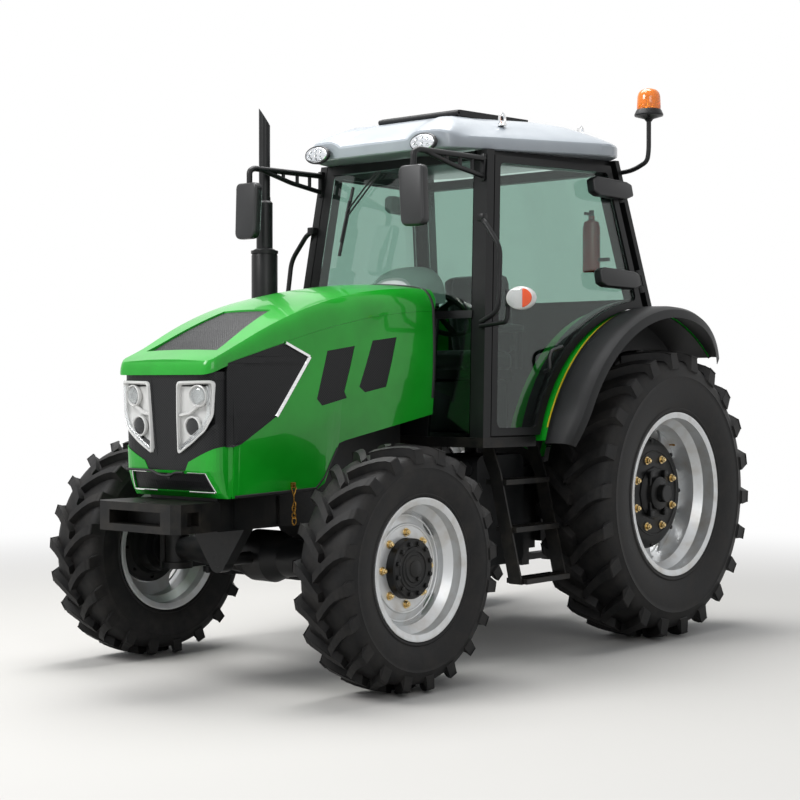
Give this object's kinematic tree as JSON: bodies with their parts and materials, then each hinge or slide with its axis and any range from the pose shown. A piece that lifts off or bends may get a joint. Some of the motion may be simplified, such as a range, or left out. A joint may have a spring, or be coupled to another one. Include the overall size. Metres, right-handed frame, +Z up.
{
  "type": "farm tractor",
  "caption": "Four-wheel-drive farm tractor with closed cab, lifting hood, steered front axle, opening doors and a rear three-point hitch.",
  "frame": {"origin": "centre of the bounding box on the ground", "axes": "-Y is the way it drives, +X is its left side, +Z is up"},
  "size_m": [2.0272, 3.9694, 3.049],
  "materials": {
    "cast_iron": "painted dark grey casting",
    "black_steel": "satin black",
    "green_paint": "gloss green",
    "black_plastic": "matt",
    "silver_plastic": "silver grey",
    "silver_paint": "silver",
    "lamp_plastic": "clear over silver",
    "amber_plastic": "translucent amber",
    "seat_cloth": "woven",
    "steel": "bright",
    "tyre_rubber": "dusty",
    "tinted_glass": "green tint"
  },
  "bodies": {
    "chassis": {"front_support": "cast_iron", "weight_carrier": "black_steel", "engine_block": "cast_iron", "gearbox_housing": "cast_iron", "rear_axle_housing": "cast_iron", "front_axle": "cast_iron", "hood_support": "black_steel", "exhaust_stack": "black_steel", "side_tanks": "black_plastic", "steps": "black_steel", "cab_floor": "black_steel", "cab_frame": "black_steel", "cab_windows": "tinted_glass", "roof_panel": "silver_plastic", "roof_lamps": "lamp_plastic", "fenders": "green_paint", "fender_flares": "black_plastic", "seat": "seat_cloth", "dash_console": "black_plastic", "mirrors": "black_steel", "beacon": "amber_plastic", "indicator_lamps": "lamp_plastic", "grab_rails": "black_steel", "drawbar": "black_steel", "pto_shaft": "steel"},
    "hood": {"hood_top": "green_paint", "hood_sides": "green_paint", "hood_screens": "black_steel", "headlamps": "lamp_plastic", "nose_panel": "green_paint"},
    "left_knuckle": {"left_knuckle": "cast_iron"},
    "right_knuckle": {"right_knuckle": "cast_iron"},
    "tie_rod": {"tie_rod": "cast_iron"},
    "steering_wheel": {"steering_wheel": "black_plastic"},
    "front_left_wheel": {"front_left_tyre": "tyre_rubber", "front_left_rim": "silver_paint", "front_left_hub": "cast_iron"},
    "front_right_wheel": {"front_right_tyre": "tyre_rubber", "front_right_rim": "silver_paint", "front_right_hub": "cast_iron"},
    "rear_left_wheel": {"rear_left_tyre": "tyre_rubber", "rear_left_rim": "silver_paint", "rear_left_hub": "cast_iron"},
    "rear_right_wheel": {"rear_right_tyre": "tyre_rubber", "rear_right_rim": "silver_paint", "rear_right_hub": "cast_iron"},
    "left_door": {"left_door": "black_steel", "left_door_glass": "tinted_glass"},
    "right_door": {"right_door": "black_steel", "right_door_glass": "tinted_glass"},
    "roof_hatch": {"roof_hatch": "black_plastic"},
    "lower_links": {"lower_links": "black_steel"},
    "lift_arms": {"lift_arms": "black_steel"},
    "lift_rods": {"lift_rods": "black_steel"}
  },
  "joints": [
    {"name": "left_steer", "type": "hinge", "parent": "chassis", "child": "left_knuckle", "pos_m": [0.66, -1.122, 0.573], "axis": [0, 0, 1], "range_deg": [-40, 40]},
    {"name": "right_steer", "type": "hinge", "parent": "chassis", "child": "right_knuckle", "pos_m": [-0.66, -1.122, 0.573], "axis": [0, 0, 1], "range_deg": [-40, 40]},
    {"name": "tie_rod_swing", "type": "hinge", "parent": "left_knuckle", "child": "tie_rod", "pos_m": [0.66, -0.902, 0.442], "axis": [0, 0, 1], "range_deg": [-40, 40]},
    {"name": "steering_turn", "type": "hinge", "parent": "chassis", "child": "steering_wheel", "pos_m": [0, 0.217, 1.818], "axis": [0, 0.5736, 0.8192], "range_deg": [-480, 480]},
    {"name": "front_left_spin", "type": "hinge", "parent": "left_knuckle", "child": "front_left_wheel", "pos_m": [0.854, -1.122, 0.573], "axis": [1, 0, 0], "continuous": true},
    {"name": "front_right_spin", "type": "hinge", "parent": "right_knuckle", "child": "front_right_wheel", "pos_m": [-0.854, -1.122, 0.573], "axis": [1, 0, 0], "continuous": true},
    {"name": "rear_left_spin", "type": "hinge", "parent": "chassis", "child": "rear_left_wheel", "pos_m": [0.796, 1.122, 0.808], "axis": [1, 0, 0], "continuous": true},
    {"name": "rear_right_spin", "type": "hinge", "parent": "chassis", "child": "rear_right_wheel", "pos_m": [-0.796, 1.122, 0.808], "axis": [1, 0, 0], "continuous": true},
    {"name": "hood_lift", "type": "hinge", "parent": "chassis", "child": "hood", "pos_m": [0, -0.33, 1.9], "axis": [-1, 0, 0], "range_deg": [0, 40]},
    {"name": "left_door_swing", "type": "hinge", "parent": "chassis", "child": "left_door", "pos_m": [0.78361, 1.0458, 1.99685], "axis": [-0.1221, -0.2198, 0.9679], "range_deg": [0, 75]},
    {"name": "right_door_swing", "type": "hinge", "parent": "chassis", "child": "right_door", "pos_m": [-0.78361, 1.0458, 1.99685], "axis": [-0.1221, 0.2198, -0.9679], "range_deg": [0, 75]},
    {"name": "hatch_lift", "type": "hinge", "parent": "chassis", "child": "roof_hatch", "pos_m": [0, 0.0554, 2.8775], "axis": [1, 0, 0], "range_deg": [0, 25]},
    {"name": "link_lift", "type": "hinge", "parent": "chassis", "child": "lower_links", "pos_m": [0, 1.272, 0.508], "axis": [1, 0, 0], "range_deg": [-8, 35]},
    {"name": "arm_lift", "type": "hinge", "parent": "chassis", "child": "lift_arms", "pos_m": [0, 1.272, 1.108], "axis": [1, 0, 0], "range_deg": [-8, 35]},
    {"name": "rod_swing", "type": "hinge", "parent": "lift_arms", "child": "lift_rods", "pos_m": [0, 1.6012, 1.085], "axis": [1, 0, 0], "range_deg": [-35, 8]}
  ],
  "couplings": [
    {"joint": "right_steer", "follows": "left_steer", "ratio": 1},
    {"joint": "tie_rod_swing", "follows": "left_steer", "ratio": -1},
    {"joint": "steering_turn", "follows": "left_steer", "ratio": 12},
    {"joint": "arm_lift", "follows": "link_lift", "ratio": 1},
    {"joint": "rod_swing", "follows": "link_lift", "ratio": -1}
  ]
}
